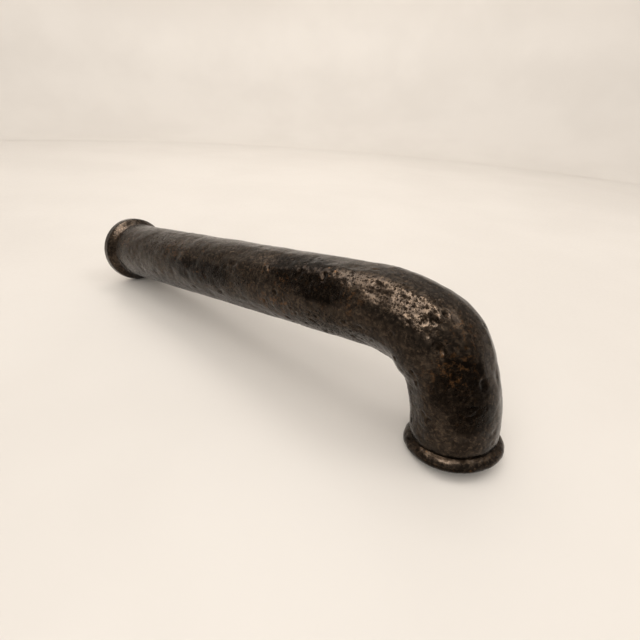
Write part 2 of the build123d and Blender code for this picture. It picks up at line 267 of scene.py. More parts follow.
# Single marks: station, angle, half length, half width, depth in mm (a rise is negative), slant in degrees
MARKS = (
    (171, 48, 1.7, 3.6, 0.80, 12),
    (184, 44, 1.6, 3.2, 0.75, -10),
    (178, 56, 1.6, 3.2, 0.50, 15),
    (194, 57, 3.4, 2.8, 0.35, 0),
    (217, 40, 1.2, 1.0, 0.45, 0),
    (221.5, 31, 1.6, 0.9, 0.35, 20),
    (226.5, 42, 1.8, 1.6, 1.05, 0),
    (227.4, 27, 2.0, 1.4, 0.85, 30),
    (222.6, 64, 1.4, 1.0, 0.35, 0),
    (228, 58, 1.8, 1.2, 0.35, 0),
    (232.6, 57, 2.6, 2.4, 1.20, 0),
    (235, 30, 1.5, 1.3, 0.55, 0),
    (235, 18, 1.2, 1.0, 0.50, 0),
    (235.3, 48, 1.2, 1.2, 0.40, 0),
    (240, 59, 1.5, 1.0, 0.40, 30),
    (241.6, 53, 2.0, 1.0, 0.45, -20),
    (244.6, 24, 2.8, 2.2, 0.50, 0),
    (250.4, 43, 0.7, 3.6, 0.75, 6),
    (253.2, 46, 0.8, 2.8, 0.55, -8),
    (252, 36, 1.6, 1.4, 0.35, 0),
    (258, 72, 1.2, 1.1, 0.35, 0),
    (225.2, 116, 1.5, 1.2, 0.50, 0),
    (235, 104, 1.5, 0.9, 0.40, 20),
    (241, 106, 2.0, 0.8, 0.40, 15),
    (262, 134, 2.6, 0.9, 0.45, 0),
    (256, 99, 2.0, 0.8, 0.30, 10),
    (168.7, 101, 1.3, 0.9, 0.40, 0),
    (180, 113, 2.8, 0.8, 0.35, 25),
    (198, 100, 1.4, 0.9, 0.35, 0),
    (199.6, 126, 1.6, 0.9, 0.40, 0),
    (205.6, 101, 1.4, 0.9, 0.35, 0),
    (219.3, 87, 1.6, 1.4, 0.45, 0),
    (174.7, 12, 1.2, 0.7, 0.25, 0),
    (213.8, 18, 1.6, 0.8, 0.35, 30),
    (224.6, 19, 1.5, 1.0, 0.40, 20),
    (229, 40, 9.0, 1.6, -0.30, 24),
    (237, 38, 8.0, 3.0, 0.35, 0),
)

# Where the patina has worn to orange-brown: station, angle, half length, half width in mm
WARM_FIELDS = (
    (236, 46, 13, 10),
    (228, 6, 14, 9),
    (192, 72, 15, 6),
    (180, 40, 12, 6),
    (150, 62, 22, 7),
    (88, 48, 24, 9),
    (20, 40, 12, 9),
    (272, 95, 5, 24),
    (215, -30, 18, 8),
    (160, -75, 20, 9),
    (96, -110, 24, 9),
    (240, -80, 14, 9),
    (200, 165, 20, 8),
    (120, 175, 22, 9),
)

# Almost black: dark patina, and painted shade on the knuckle and the front of the outlet bead: station,
# angle, half length, half width in mm
BLACK_PATINA_AND_SHADE_FIELDS = (
    (244, 52, 13, 12),
    (254, 40, 8, 10),
    (273.2, 68, 2.0, 22),
    (184, 66, 14, 6),
    (100, 80, 30, 7),
    (238, -70, 14, 10),
    (60, 150, 24, 10),
    (170, -140, 24, 10),
)

# Where the casting is porous: station, angle, half length, half width in mm
POROUS_FIELDS = (
    (208, 46, 26, 8),
    (224, 44, 10, 8),
    (232.6, 57, 4, 4),
    (194, 57, 6, 5),
    (170, 60, 18, 6),
    (243, 52, 9, 7),
    (253, 42, 6, 7),
    (190, -60, 24, 9),
    (232, -40, 12, 8),
    (120, -100, 26, 8),
    (60, 40, 16, 7),
    (222, 168, 8, 7),
)


def skin_grid(rows):
    """Smooth skin points, outward directions, and station and angle, each as a (rows, AROUND) grid."""
    station = np.repeat(rows[:, :1], AROUND, axis=1)
    angle = np.repeat(np.linspace(0, 2 * pi, AROUND, endpoint=False)[None], len(rows), axis=0)
    centre, turn = centreline(station)
    _, out, _ = axes_at(turn, angle)
    points = centre + rows[:, 1][:, None, None] * out
    return points, out, station, angle


def spot(points, station, angle, half_length, half_width, slant=0.0):
    """Distance of each point from a spot on the skin, where 1 is its rim; the far side is far away."""
    centre, turn = centreline([station])
    angle = np.array([radians(angle)])
    along, out, around = axes_at(turn, angle)
    radius = skin_radius(np.array([station]))
    offset = points - (centre + radius[:, None] * out)
    lean = radians(slant)
    first = along * cos(lean) + around * sin(lean)
    second = around * cos(lean) - along * sin(lean)
    deep = np.abs(offset @ out[0]) / (2.5 * max(half_length, half_width))
    return np.sqrt((offset @ first[0] / half_length) ** 2
                   + (offset @ second[0] / half_width) ** 2 + deep ** 4)


def near_rows(station_column, station, reach):
    """Slice of the grid's rows that a spot of this reach can touch, also on the inside of the bend."""
    touched = np.nonzero(np.abs(station_column - station) < 3.6 * reach + 1)[0]
    return slice(touched[0], touched[-1] + 1) if len(touched) else slice(0, 0)


def cast_relief(points, station, angle):
    """Height in mm of the hammered, pitted surface over the smooth skin, and masks for the material."""
    flat_points = points.reshape(-1, 3)
    shape = points.shape[:2]

    def noise(size, seed):
        return gradient_noise(flat_points, size, seed).reshape(shape)

    height = 0.20 * noise(17, 1) + 0.16 * noise(8, 2) + 0.085 * noise(3.4, 3) + 0.035 * noise(1.6, 4)
    height -= 0.10 * smooth_step(noise(5, 5), 0.15, 0.7)

    for at, direction, half_length, half_angle, flatness in FLATS:
        away = np.abs((angle - radians(direction) + pi) % (2 * pi) - pi)
        chord = np.cos(radians(half_angle)) / np.cos(np.clip(away, 0, radians(half_angle))) - 1
        ends = smooth_step(np.abs(station - at), half_length, 0.55 * half_length)
        height += flatness * ends * chord * TUBE_RADIUS

    pits_and_crease_shade = np.zeros(shape)
    rng = np.random.default_rng(11)
    column = station[:, 0]
    wobble = 1 + 0.38 * noise(1.9, 6) + 0.25 * noise(0.9, 7)

    def press(at, direction, half_length, half_width, depth, slant, steep):
        rows = near_rows(column, at, max(half_length, half_width))
        away = spot(points[rows], at, direction, half_length, half_width, slant) * wobble[rows]
        bowl = smooth_step(away, 1.0, 0.35) if steep else np.clip(1 - away ** 2, 0, 1) ** 2
        height[rows] -= depth * bowl
        if steep:
            height[rows] += 0.18 * depth * np.exp(-((away - 1.12) / 0.20) ** 2)
            pits_and_crease_shade[rows] = np.maximum(pits_and_crease_shade[rows], bowl ** 3 * min(1, depth / 0.4))

    for _ in range(300):
        at, direction = rng.uniform(9, OUTLET - 7), rng.uniform(0, 360)
        size, stretch = rng.uniform(1.8, 4.6), rng.uniform(0.55, 1.0)
        depth = rng.uniform(0.06, 0.24) * size / 3.5
        press(at, direction, size, size * stretch, depth, rng.uniform(-90, 90), False)
    for _ in range(330):
        at, direction = rng.uniform(8, OUTLET - 6), rng.uniform(0, 360)
        size = rng.uniform(0.55, 1.0) * (1.5 if rng.random() < 0.18 else 1.0)
        depth = rng.uniform(0.14, 0.34) * size
        press(at, direction, size * rng.uniform(1.0, 1.9), size, depth, rng.uniform(-60, 60), True)
    for at, direction, half_length, half_width, depth, slant in MARKS:
        small = depth > 0 and max(half_length, half_width) < 3.0
        press(at, direction, half_length, half_width, depth, slant, small)

    def field(places):
        mask = np.zeros(shape)
        for at, direction, half_length, half_width in places:
            rows = near_rows(column, at, max(half_length, half_width))
            away = spot(points[rows], at, direction, half_length, half_width)
            mask[rows] = np.maximum(mask[rows], smooth_step(away, 1.25, 0.5))
        return mask

    # painted shade: a dark band in the crease above the outlet bead, carried in the pit mask
    crease_shade = np.exp(-((station - OUTLET + OUTLET_BEAD_LENGTH) / 0.8) ** 2)
    pits_and_crease_shade = np.maximum(pits_and_crease_shade, crease_shade * np.clip(0.8 + 0.7 * noise(2.5, 13), 0, 1))
    porous = np.clip(field(POROUS_FIELDS) + 0.25 * noise(4, 8), 0, 1)
    warm = np.clip(field(WARM_FIELDS) + 0.3 * noise(9, 10), 0, 1)
    # the almost-black mask: dark patina, and painted shade on the knuckle and the front of the outlet bead
    black_patina_and_shade = np.clip(field(BLACK_PATINA_AND_SHADE_FIELDS) + 0.25 * noise(6, 14), 0, 1)
    height += 0.25 * pits_and_crease_shade * noise(0.8, 12)
    from_top = np.abs((np.degrees(angle) + 180) % 360 - 180 - 2)
    calm = smooth_step(from_top, 34, 16) * smooth_step(station, 120, 170)
    calm = np.maximum(calm, 0.35 + 0.6 * smooth_step(station, 190, 130) + 0.8 * noise(22, 9))
    calm = np.clip(calm * (1 - porous), 0, 1)
    return height, {"pit_and_crease_shade": pits_and_crease_shade, "porous": porous, "calm": calm, "warm": warm, "black_patina_and_shade": black_patina_and_shade}


def add_attribute(mesh, name, values):
    layer = mesh.attributes.new(name, "FLOAT", "POINT")
    layer.data.foreach_set("value", np.asarray(values, np.float32))


def mesh_object(name, vertices, faces):
    mesh = bpy.data.meshes.new(name)
    mesh.from_pydata([tuple(v) for v in vertices], [], [tuple(f) for f in faces])
    mesh.validate()
    piece = bpy.data.objects.new(name, mesh)
    bpy.context.scene.collection.objects.link(piece)
    return piece


def shade(piece, sharp_degrees):
    """Smooth shading, broken at edges sharper than this."""
    mesh = piece.data
    mesh.polygons.foreach_set("use_smooth", np.ones(len(mesh.polygons), bool))
    mesh.set_sharp_from_angle(angle=radians(sharp_degrees))


def apply_modifiers(piece):
    bpy.context.view_layer.objects.active = piece
    for modifier in list(piece.modifiers):
        with bpy.context.temp_override(object=piece, active_object=piece, selected_objects=[piece]):
            bpy.ops.object.modifier_apply(modifier=modifier.name)


def thread_groove(height, angle, pitch, start, end):
    """Depth share of a screw thread's groove, fading out towards both ends."""
    phase = np.abs((height / pitch - angle / (2 * pi)) % 1 - 0.5) * 2
    fade = smooth_step(height, start, start + 0.7 * pitch) * smooth_step(height, end, end - 0.7 * pitch)
    return fade * smooth_step(phase, 0.80, 0.20)


def build_casting():
    rows, skin_rows = casting_profile()
    points, out, station, angle = skin_grid(rows)
    skin = slice(0, skin_rows)
    height, masks = cast_relief(points[skin], station[skin], angle[skin])
    # the wall and outlet faces are flat, the inlet bead is smoother than the tube and the outlet bead rougher
    ends = smooth_step(station[skin], 0.2, 1.6) * smooth_step(station[skin], OUTLET - 0.15, OUTLET - 1.6)
    inlet_bead = smooth_step(station[skin], 9.5, 5.5)
    outlet_bead = smooth_step(station[skin], OUTLET - OUTLET_BEAD_LENGTH, OUTLET - 4.0)
    height = height * ends * (1 - 0.45 * inlet_bead) * (1 + 0.5 * outlet_bead)
    radial = rows[skin, 1][:, None]
    bore_clear = smooth_step(radial, THREAD_RADIUS + 1.5, THREAD_RADIUS + 3.5)
    height = height * bore_clear
    points[skin] += height[..., None] * out[skin]

    threaded = (rows[:, 1] == THREAD_RADIUS)[:, None] * (station > OUTLET - THREAD_DEPTH - 0.01)
    groove = thread_groove(OUTLET - station, angle, THREAD_PITCH, LEAD_IN, THREAD_DEPTH - 0.8)
    points += (threaded * THREAD_HEIGHT * groove)[..., None] * out

    count = len(rows)
    grid = np.arange(count * AROUND).reshape(count, AROUND)
    after = np.roll(grid, -1, axis=0)
    faces = np.stack([grid, np.roll(grid, -1, axis=1), np.roll(after, -1, axis=1), after], axis=-1)
    casting = mesh_object("bronze_casting", points.reshape(-1, 3) * MM, faces.reshape(-1, 4))

    def full(values):
        whole = np.zeros((count, AROUND))
        whole[skin] = values
        return whole.ravel()

    for name, values in masks.items():
        add_attribute(casting.data, name, full(values))
    machined = np.zeros((count, AROUND))
    machined[skin_rows:] = 1
    add_attribute(casting.data, "machined", machined.ravel())

    bpy.ops.mesh.primitive_cylinder_add(
        vertices=48, radius=SCREW_HOLE_RADIUS * MM, depth=SCREW_CUTTER_DEPTH * MM,
        location=(SCREW_STATION * MM, 0, SCREW_CUTTER_HEIGHT * MM))
    cutter = bpy.context.object
    hole = casting.modifiers.new("screw hole", "BOOLEAN")
    hole.operation = "DIFFERENCE"
    hole.solver = "MANIFOLD"
    hole.object = cutter
    apply_modifiers(casting)
    bpy.data.objects.remove(cutter)
    shade(casting, 62)
    return casting


# ---------------------------------------------------------------- materials

def add_node(tree, kind, inputs=None, **settings):
    """A shader node with its settings; an input given as a socket is linked, and any other is set."""
    made = tree.nodes.new(kind)
    for name, value in settings.items():
        setattr(made, name, value)
    for key, value in (inputs or {}).items():
        if isinstance(value, bpy.types.NodeSocket):
            tree.links.new(value, made.inputs[key])
        else:
            made.inputs[key].default_value = value
    return made


class Shader:
    """Short calls that add nodes to one material; sizes are in mm over the object's own coordinates."""

    def __init__(self, name):
        self.material = bpy.data.materials.new(name)
        self.material.use_nodes = True
        self.tree = self.material.node_tree
        self.surface = self.tree.nodes["Principled BSDF"]
        self.place = add_node(self.tree, "ShaderNodeTexCoord").outputs["Object"]

    def noise(self, size, detail=3.0, roughness=0.55, distortion=0.0):
        made = add_node(self.tree, "ShaderNodeTexNoise", {
            "Vector": self.place, "Scale": 1 / (size * MM), "Detail": detail,
            "Roughness": roughness, "Distortion": distortion})
        return made.outputs["Fac"]

    def cells(self, size):
        return add_node(self.tree, "ShaderNodeTexVoronoi", {
            "Vector": self.place, "Scale": 1 / (size * MM)})

    def attribute(self, name):
        return add_node(self.tree, "ShaderNodeAttribute", attribute_name=name).outputs["Fac"]

    def math(self, operation, first, second=0.0, third=0.0, clamp=False):
        made = add_node(self.tree, "ShaderNodeMath", {0: first, 1: second, 2: third}, operation=operation)
        made.use_clamp = clamp
        return made.outputs[0]

    def fit(self, value, low, high, to_low=0.0, to_high=1.0, smooth=True):
        made = add_node(self.tree, "ShaderNodeMapRange", {
            "Value": value, "From Min": low, "From Max": high, "To Min": to_low, "To Max": to_high})
        made.interpolation_type = "SMOOTHSTEP" if smooth else "LINEAR"
        return made.outputs["Result"]

    def mix(self, share, first, second):
        made = add_node(self.tree, "ShaderNodeMix", data_type="RGBA")
        sockets = {0: share, 6: first, 7: second}
        for key, value in sockets.items():
            if isinstance(value, bpy.types.NodeSocket):
                self.tree.links.new(value, made.inputs[key])
            elif key == 0:
                made.inputs[key].default_value = value
            else:
                made.inputs[key].default_value = (*value, 1)
        return made.outputs[2]

    def bump(self, height_mm):
        made = add_node(self.tree, "ShaderNodeBump", {
            "Height": height_mm, "Distance": MM, "Strength": 1.0})
        self.tree.links.new(made.outputs["Normal"], self.surface.inputs["Normal"])
        self.tree.links.new(made.outputs["Normal"], self.surface.inputs["Coat Normal"])

    def set(self, **values):
        for name, value in values.items():
            socket = self.surface.inputs[name.replace("_", " ")]
            if isinstance(value, bpy.types.NodeSocket):
                self.tree.links.new(value, socket)
            elif isinstance(value, tuple):
                socket.default_value = (*value, 1)
            else:
                socket.default_value = value


def bronze_material():
    """Dark patinated bronze: brown-black with orange-brown patches, pits and a wax sheen; painted shade
    darkens the crease above the outlet bead, the knuckle and the bead's front.
    """
    s = Shader("patinated_bronze")
    pit_and_crease_shade, porous = s.attribute("pit_and_crease_shade"), s.attribute("porous")
    black_patina_and_shade, machined, calm = s.attribute("black_patina_and_shade"), s.attribute("machined"), s.attribute("calm")
    broad, middle = s.noise(24, 3), s.noise(2.6, 5, 0.68, 0.5)
    fine, grain = s.noise(1.3, 4, 0.6), s.noise(0.5, 1)
    lumps, ripple = s.noise(3.0, 1.5, 0.5, 0.4), s.noise(1.4, 1, 0.5)

    patch = s.math("MULTIPLY_ADD", s.noise(1.9, 5, 0.7, 0.25), 0.7, s.math("MULTIPLY", broad, 0.3))
    warm = s.math("MULTIPLY", s.fit(patch, 0.53, 0.64), s.fit(s.attribute("warm"), 0.0, 1.0, 0.06, 0.85))
    bright = s.math("MULTIPLY", s.fit(middle, 0.36, 0.68), s.fit(black_patina_and_shade, 0.1, 0.9, 1.0, 0.15))
    # almost black where that mask is high: dark patina, and painted shade on the knuckle and the outlet
    # bead's front
    dark = s.mix(s.fit(black_patina_and_shade, 0.1, 0.9), (0.0130, 0.0084, 0.0052), (0.0050, 0.0030, 0.0017))
    colour = s.mix(bright, dark, (0.041, 0.0295, 0.0205))
    colour = s.mix(warm, colour, (0.092, 0.045, 0.018))
    specks = s.fit(fine, 0.5, 0.72, 0.0, 0.6)
    specks = s.math("MULTIPLY", specks, s.fit(black_patina_and_shade, 0.1, 0.9, 1.0, 0.35))
    colour = s.mix(specks, colour, (0.095, 0.067, 0.045))

    cell = s.cells(1.35)
    radius = s.fit(cell.outputs["Color"], 0.30, 0.90, 0.02, 0.52, smooth=False)
    patchy = s.math("MULTIPLY", s.fit(porous, 0.15, 0.7, 0.12, 1.0), radius)
    pore = s.fit(s.math("SUBTRACT", cell.outputs["Distance"], patchy), 0.02, -0.05)
    tiny_cell = s.cells(0.85)
    tiny_radius = s.math("MULTIPLY", s.fit(tiny_cell.outputs["Color"], 0.3, 0.8, 0.0, 0.55, smooth=False),
                         s.fit(porous, 0.35, 0.9))
    tiny = s.fit(s.math("SUBTRACT", tiny_cell.outputs["Distance"], tiny_radius), 0.02, -0.06)
    crumbs_and_crease_shade = s.math("MULTIPLY", pit_and_crease_shade, s.fit(grain, 0.3, 0.7, 1.0, 0.45))
    hollows_and_crease_shade = s.math("MAXIMUM", s.math("MAXIMUM", pore, s.math("MULTIPLY", tiny, 0.7)), crumbs_and_crease_shade, clamp=True)
    # pores, pits and their crumbs darken as black patina; the crease band in the pit mask darkens here as
    # painted shade
    colour = s.mix(s.math("MULTIPLY", hollows_and_crease_shade, 0.70), colour, (0.005, 0.0034, 0.0023))
    bored = s.mix(s.fit(s.noise(3, 3), 0.35, 0.7), (0.16, 0.085, 0.035), (0.26, 0.15, 0.065))
    colour = s.mix(machined, colour, bored)

    skin_grain = s.math("MULTIPLY_ADD", ripple, 0.09, s.math("MULTIPLY", grain, 0.015))
    height = s.math("MULTIPLY", skin_grain, s.fit(calm, 0.0, 1.0, 1.0, 0.12))
    height = s.math("MULTIPLY_ADD", pore, -0.34, height)
    height = s.math("MULTIPLY_ADD", tiny, -0.18, height)
    height = s.math("MULTIPLY_ADD", lumps, s.fit(calm, 0.0, 1.0, 0.16, 0.06), height)
    s.bump(height)
    rough = s.math("MULTIPLY_ADD", hollows_and_crease_shade, 0.28, s.fit(fine, 0.3, 0.75, 0.19, 0.31))
    rough = s.math("MULTIPLY_ADD", s.fit(broad, 0.35, 0.65), 0.06, rough)
    wax = s.math("MULTIPLY", s.fit(hollows_and_crease_shade, 0.1, 0.6, 0.13, 0.0), s.fit(black_patina_and_shade, 0.1, 0.9, 1.0, 0.4))
    s.set(Base_Color=colour, Roughness=rough, Metallic=1.0,
          Coat_Weight=wax, Coat_Roughness=0.20)
    return s.material


def turned_metal_material(name, dark, light, roughness, axis=0, pitch=0.35):
    """Machined metal with fine rings round one axis, small stains and worn spots."""
    s = Shader(name)
    stain, speck = s.noise(5, 4, 0.6), s.noise(0.9, 3)
    split = add_node(s.tree, "ShaderNodeSeparateXYZ", {"Vector": s.place})
    rings = s.math("SINE", s.math("MULTIPLY", split.outputs[axis], 2 * pi / (pitch * MM)))
    colour = s.mix(s.fit(stain, 0.35, 0.68), light, dark)
    s.bump(s.math("MULTIPLY_ADD", rings, 0.004, s.math("MULTIPLY", speck, 0.02)))
    rough = s.fit(stain, 0.3, 0.7, roughness, roughness + 0.1)
    rough = s.math("MULTIPLY_ADD", s.fit(speck, 0.35, 0.7), 0.12, rough)
    s.set(Base_Color=colour, Metallic=1.0, Roughness=rough)
    return s.material


def moulded_material(name, dark, light, roughness, foam=False):
    """Moulded rubber or plastic: fine grain, faint flow marks and uneven gloss."""
    s = Shader(name)
    flow, speck = s.noise(4, 4, 0.6, 0.6), s.noise(0.2, 3)
    colour = s.mix(s.fit(flow, 0.35, 0.68), dark, light)
    height = s.math("MULTIPLY_ADD", flow, 0.03, s.math("MULTIPLY", speck, 0.01))
    if foam:
        cell = s.cells(0.5)
        bubble_and_painted_shade = s.fit(cell.outputs["Distance"], 0.55, 0.15)
        # the foam's cells are darkened in colour as painted shade, besides their dent in the bump
        colour = s.mix(s.math("MULTIPLY", bubble_and_painted_shade, 0.7), colour, tuple(0.4 * c for c in dark))
        height = s.math("MULTIPLY_ADD", bubble_and_painted_shade, -0.14, height)
    s.bump(height)
    s.set(Base_Color=colour, Roughness=s.fit(speck, 0.3, 0.75, roughness - 0.06, roughness + 0.1),
          Specular_IOR_Level=0.45)
    return s.material


def dress(piece, material):
    piece.data.materials.clear()
    piece.data.materials.append(material)


# ---------------------------------------------------------------- pieces

casting = build_casting()
dress(casting, bronze_material())
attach(casting, "spout")
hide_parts("cast_elbow")

BRASS = turned_metal_material("turned_brass", (0.34, 0.19, 0.06), (0.60, 0.40, 0.15), 0.24)
STEEL = turned_metal_material("stainless_steel", (0.30, 0.29, 0.28), (0.56, 0.55, 0.53), 0.24,
                              axis=2, pitch=0.25)
RUBBER = moulded_material("black_rubber", (0.012, 0.012, 0.013), (0.026, 0.026, 0.027), 0.55)
FOAM = moulded_material("grey_foam", (0.06, 0.06, 0.062), (0.11, 0.11, 0.11), 0.85, foam=True)
NYLON = moulded_material("white_nylon", (0.55, 0.54, 0.50), (0.72, 0.71, 0.68), 0.45)
ACETAL = moulded_material("grey_acetal", (0.10, 0.105, 0.11), (0.16, 0.165, 0.17), 0.40)
SHARP_DEGREES = 38                                        # edges sharper than this stay crisp on small pieces

END_POINT, _ = centreline([OUTLET])
OUTLET_X, OUTLET_Z = END_POINT[0, 0], END_POINT[0, 2]


def softened(corners, step):
    """Closed outline (N, 2) through corners of (height, radius, rounding).

    The step sets how many points a straight run gets, not an even spacing. A fourth number at a
    corner is the step of the run that ends there.
    """
    rows = []

    def straight_to(point, step):
        if rows:
            # each step goes a share of what is left, so the points crowd towards the end of the run
            length = np.hypot(*(point - rows[-1]))
            for share in spaced(0, 1, step / max(length, step))[1:-1]:
                rows.append(rows[-1] + share * (point - rows[-1]))
        rows.append(point)

    def towards(middle, other, distance):
        return middle + (other - middle) * distance / np.hypot(*(other - middle))

    places = [np.array(corner[:2], float) for corner in corners]
    for index, middle in enumerate(places):
        size = corners[index][2]
        first = towards(middle, places[index - 1], size)
        last = towards(middle, places[(index + 1) % len(places)], size)
        straight_to(first, corners[index][3] if len(corners[index]) > 3 else step)
        if size:
            for t in (0.25, 0.5, 0.75, 1.0):
                rows.append((1 - t) ** 2 * first + 2 * t * (1 - t) * middle + t * t * last)
    straight_to(rows[0], step)
    return np.array(rows[:-1])


def turned_piece(name, outline, around, place, bend):
    """A closed ring of this outline round an axis; bend gives each radius by height, radius and angle."""
    angle = np.repeat(np.linspace(0, 2 * pi, around, endpoint=False)[None], len(outline), axis=0)
    height = np.repeat(outline[:, :1], around, axis=1)
    radius = bend(height, np.repeat(outline[:, 1:], around, axis=1), angle)
    points = place(height, radius * np.cos(angle), radius * np.sin(angle)).reshape(-1, 3)
    grid = np.arange(len(outline) * around).reshape(len(outline), around)
    after = np.roll(grid, -1, axis=0)
    faces = np.stack([grid, np.roll(grid, -1, axis=1), np.roll(after, -1, axis=1), after], axis=-1)
    faces = faces.reshape(-1, 4)
    a, b, c = (points[faces[:, i]] for i in (0, 1, 2))
    if np.sum(np.cross(b - a, c - a) * a) < 0:
        faces = faces[:, ::-1]
    return mesh_object(name, points * MM, faces)


def hexagon(angle, flats):
    """Radius of a hexagon with this distance across its flats and a corner at angle 0."""
    return flats / 2 / np.cos(angle % (pi / 3) - pi / 6)


def fit_piece(piece, node, body, material):
    """Give a built piece its material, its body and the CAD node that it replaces."""
    dress(piece, material)
    shade(piece, SHARP_DEGREES)
    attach(piece, body)
    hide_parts(node)


def along_leg(height, across, up):
    return np.stack([height, across, up], axis=-1)


def above_outlet(height, x, y):
    return np.stack([OUTLET_X + x, y, OUTLET_Z + height], axis=-1)


def under_leg(height, x, y):
    return np.stack([SCREW_STATION + x, y, height], axis=-1)


def adapter_bend(height, radius, angle):
    """Pipe thread in the wall end and hexagon socket in the far end."""
    nipple = thread_groove(height, angle, NIPPLE_PITCH, 0.5, NIPPLE_DEPTH - 1)
    threaded = np.abs(radius - NIPPLE_RADIUS) < 1e-6
    radius = np.where(threaded, radius + NIPPLE_THREAD_HEIGHT * nipple, radius)
    socket = (height > KEY_START - 1e-6) & (radius < KEY_FLATS / 2 + 0.1) & (radius > KEY_FLATS / 2 - 0.3)
    return np.where(socket, hexagon(angle, KEY_FLATS) - (KEY_FLATS / 2 - radius), radius)


def adapter_corners():
    """Corners of the adapter's wall, from the wall face along the outside and back through the bore."""
    neck_start, neck_end, neck_radius = ADAPTER_NECK
    corners = [(0, NIPPLE_RADIUS + NIPPLE_LEAD_IN, 0), (0, ADAPTER_RADIUS, 0.25),
               (neck_start, ADAPTER_RADIUS, 0.3), (neck_start, neck_radius, 0.4),
               (neck_end, neck_radius, 0.4), (neck_end, ADAPTER_RADIUS, 0.3)]
    for start, end in O_RING_GROOVES:
        corners += [(start, ADAPTER_RADIUS, 0.15), (start, O_RING_GROOVE_RADIUS, 0.2),
                    (end, O_RING_GROOVE_RADIUS, 0.2), (end, ADAPTER_RADIUS, 0.15)]
    return corners + [
        (ADAPTER_LENGTH - LEAD_IN, ADAPTER_RADIUS, 0.2), (ADAPTER_LENGTH, ADAPTER_RADIUS - LEAD_IN, 0.15),
        (ADAPTER_LENGTH, KEY_FLATS / 2, 0.12), (KEY_START, KEY_FLATS / 2, 0), (KEY_START, ADAPTER_BORE, 0.1),
        (NIPPLE_DEPTH, ADAPTER_BORE, 0.2), (NIPPLE_DEPTH, NIPPLE_RADIUS, 0),
        (NIPPLE_LEAD_IN, NIPPLE_RADIUS, 0, 0.18)]


adapter = turned_piece("brass_adapter", softened(adapter_corners(), 0.7), 144, along_leg, adapter_bend)
fit_piece(adapter, "wall_adapter", "wall_adapter", BRASS)


def screw_bend(height, radius, angle):
    """Thread outside and hexagon socket in the lower end."""
    groove = thread_groove(height - SCREW_BOTTOM, angle, SCREW_PITCH, 0.45, 4.55)
    key_radius = SCREW_KEY_FLATS / 2
    socket = (radius < key_radius + 0.1) & (radius > 0.2) & (height < SCREW_KEY_FLOOR + 0.1)
    key = np.where(socket, radius / key_radius * hexagon(angle, SCREW_KEY_FLATS), radius)
    return np.where(radius > SCREW_RADIUS - 0.05, radius - SCREW_THREAD_HEIGHT * groove, key)


SCREW_CORNERS = (
    (SCREW_BOTTOM, 2.3, 0.12), (SCREW_BOTTOM + 0.55, SCREW_RADIUS, 0.1),
    (SCREW_TOP - 0.55, SCREW_RADIUS, 0.1), (SCREW_TOP, 2.4, 0.12),
    (SCREW_TOP, 0, 0), (SCREW_TOP - 0.01, 0, 0), (SCREW_KEY_CONE, 0, 0),
    (SCREW_KEY_FLOOR, SCREW_KEY_FLATS / 2, 0), (SCREW_BOTTOM + 0.2, SCREW_KEY_FLATS / 2, 0),
    (SCREW_BOTTOM, SCREW_KEY_FLATS / 2 + 0.2, 0))
screw = turned_piece("steel_set_screw", softened(SCREW_CORNERS, 0.09), 96, under_leg, screw_bend)
fit_piece(screw, "set_screw", "set_screw", STEEL)


def housing_bend(height, radius, angle):
    """Fine thread outside."""
    groove = thread_groove(height, angle, THREAD_PITCH, SHELL_BOTTOM + 0.4, SHELL_TOP - 0.3)
    return np.where(radius > SHELL_RADIUS - 0.05, radius - THREAD_HEIGHT * groove, radius)


SHELL_CORNERS = (
    (SHELL_BOTTOM, SHELL_LIP_RADIUS, 0.15), (SHELL_BOTTOM, SHELL_RADIUS - SHELL_CHAMFER, 0.15),
    (SHELL_BOTTOM + SHELL_CHAMFER, SHELL_RADIUS, 0.1), (SHELL_TOP - SHELL_CHAMFER, SHELL_RADIUS, 0.1),
    (SHELL_TOP, SHELL_RADIUS - SHELL_CHAMFER, 0.15), (SHELL_TOP, SHELL_BORE, 0.12),
    (SHELL_LIP_TOP, SHELL_BORE, 0.1), (SHELL_LIP_TOP, SHELL_LIP_RADIUS, 0.12))
housing = turned_piece("aerator_shell", softened(SHELL_CORNERS, 0.13), 192, above_outlet, housing_bend)


def notch_cutters():
    """Small blocks across the shell's lip, one for each notch."""
    vertices, faces = [], []
    half = NOTCH_WIDTH / 2
    for turn in np.arange(NOTCHES) * pi / 6:
        start = len(vertices)
        for height in (4.0, 5.4):
            for along, side in ((8.0, -half), (NOTCH_FLOOR, -half), (NOTCH_FLOOR, half), (8.0, half)):
                x = OUTLET_X + along * cos(turn) - side * sin(turn)
                vertices.append((x, along * sin(turn) + side * cos(turn), OUTLET_Z + height))
        faces += [[start + i for i in face] for face in (
            (0, 3, 2, 1), (4, 5, 6, 7), (0, 1, 5, 4), (1, 2, 6, 5), (2, 3, 7, 6), (3, 0, 4, 7))]
    return mesh_object("notch_cutters", np.array(vertices) * MM, faces)


cutters = notch_cutters()
cut = housing.modifiers.new("notches", "BOOLEAN")
cut.operation, cut.solver, cut.object = "DIFFERENCE", "MANIFOLD", cutters
apply_modifiers(housing)
bpy.data.objects.remove(cutters)
fit_piece(housing, "aerator_housing", "aerator_housing", BRASS)


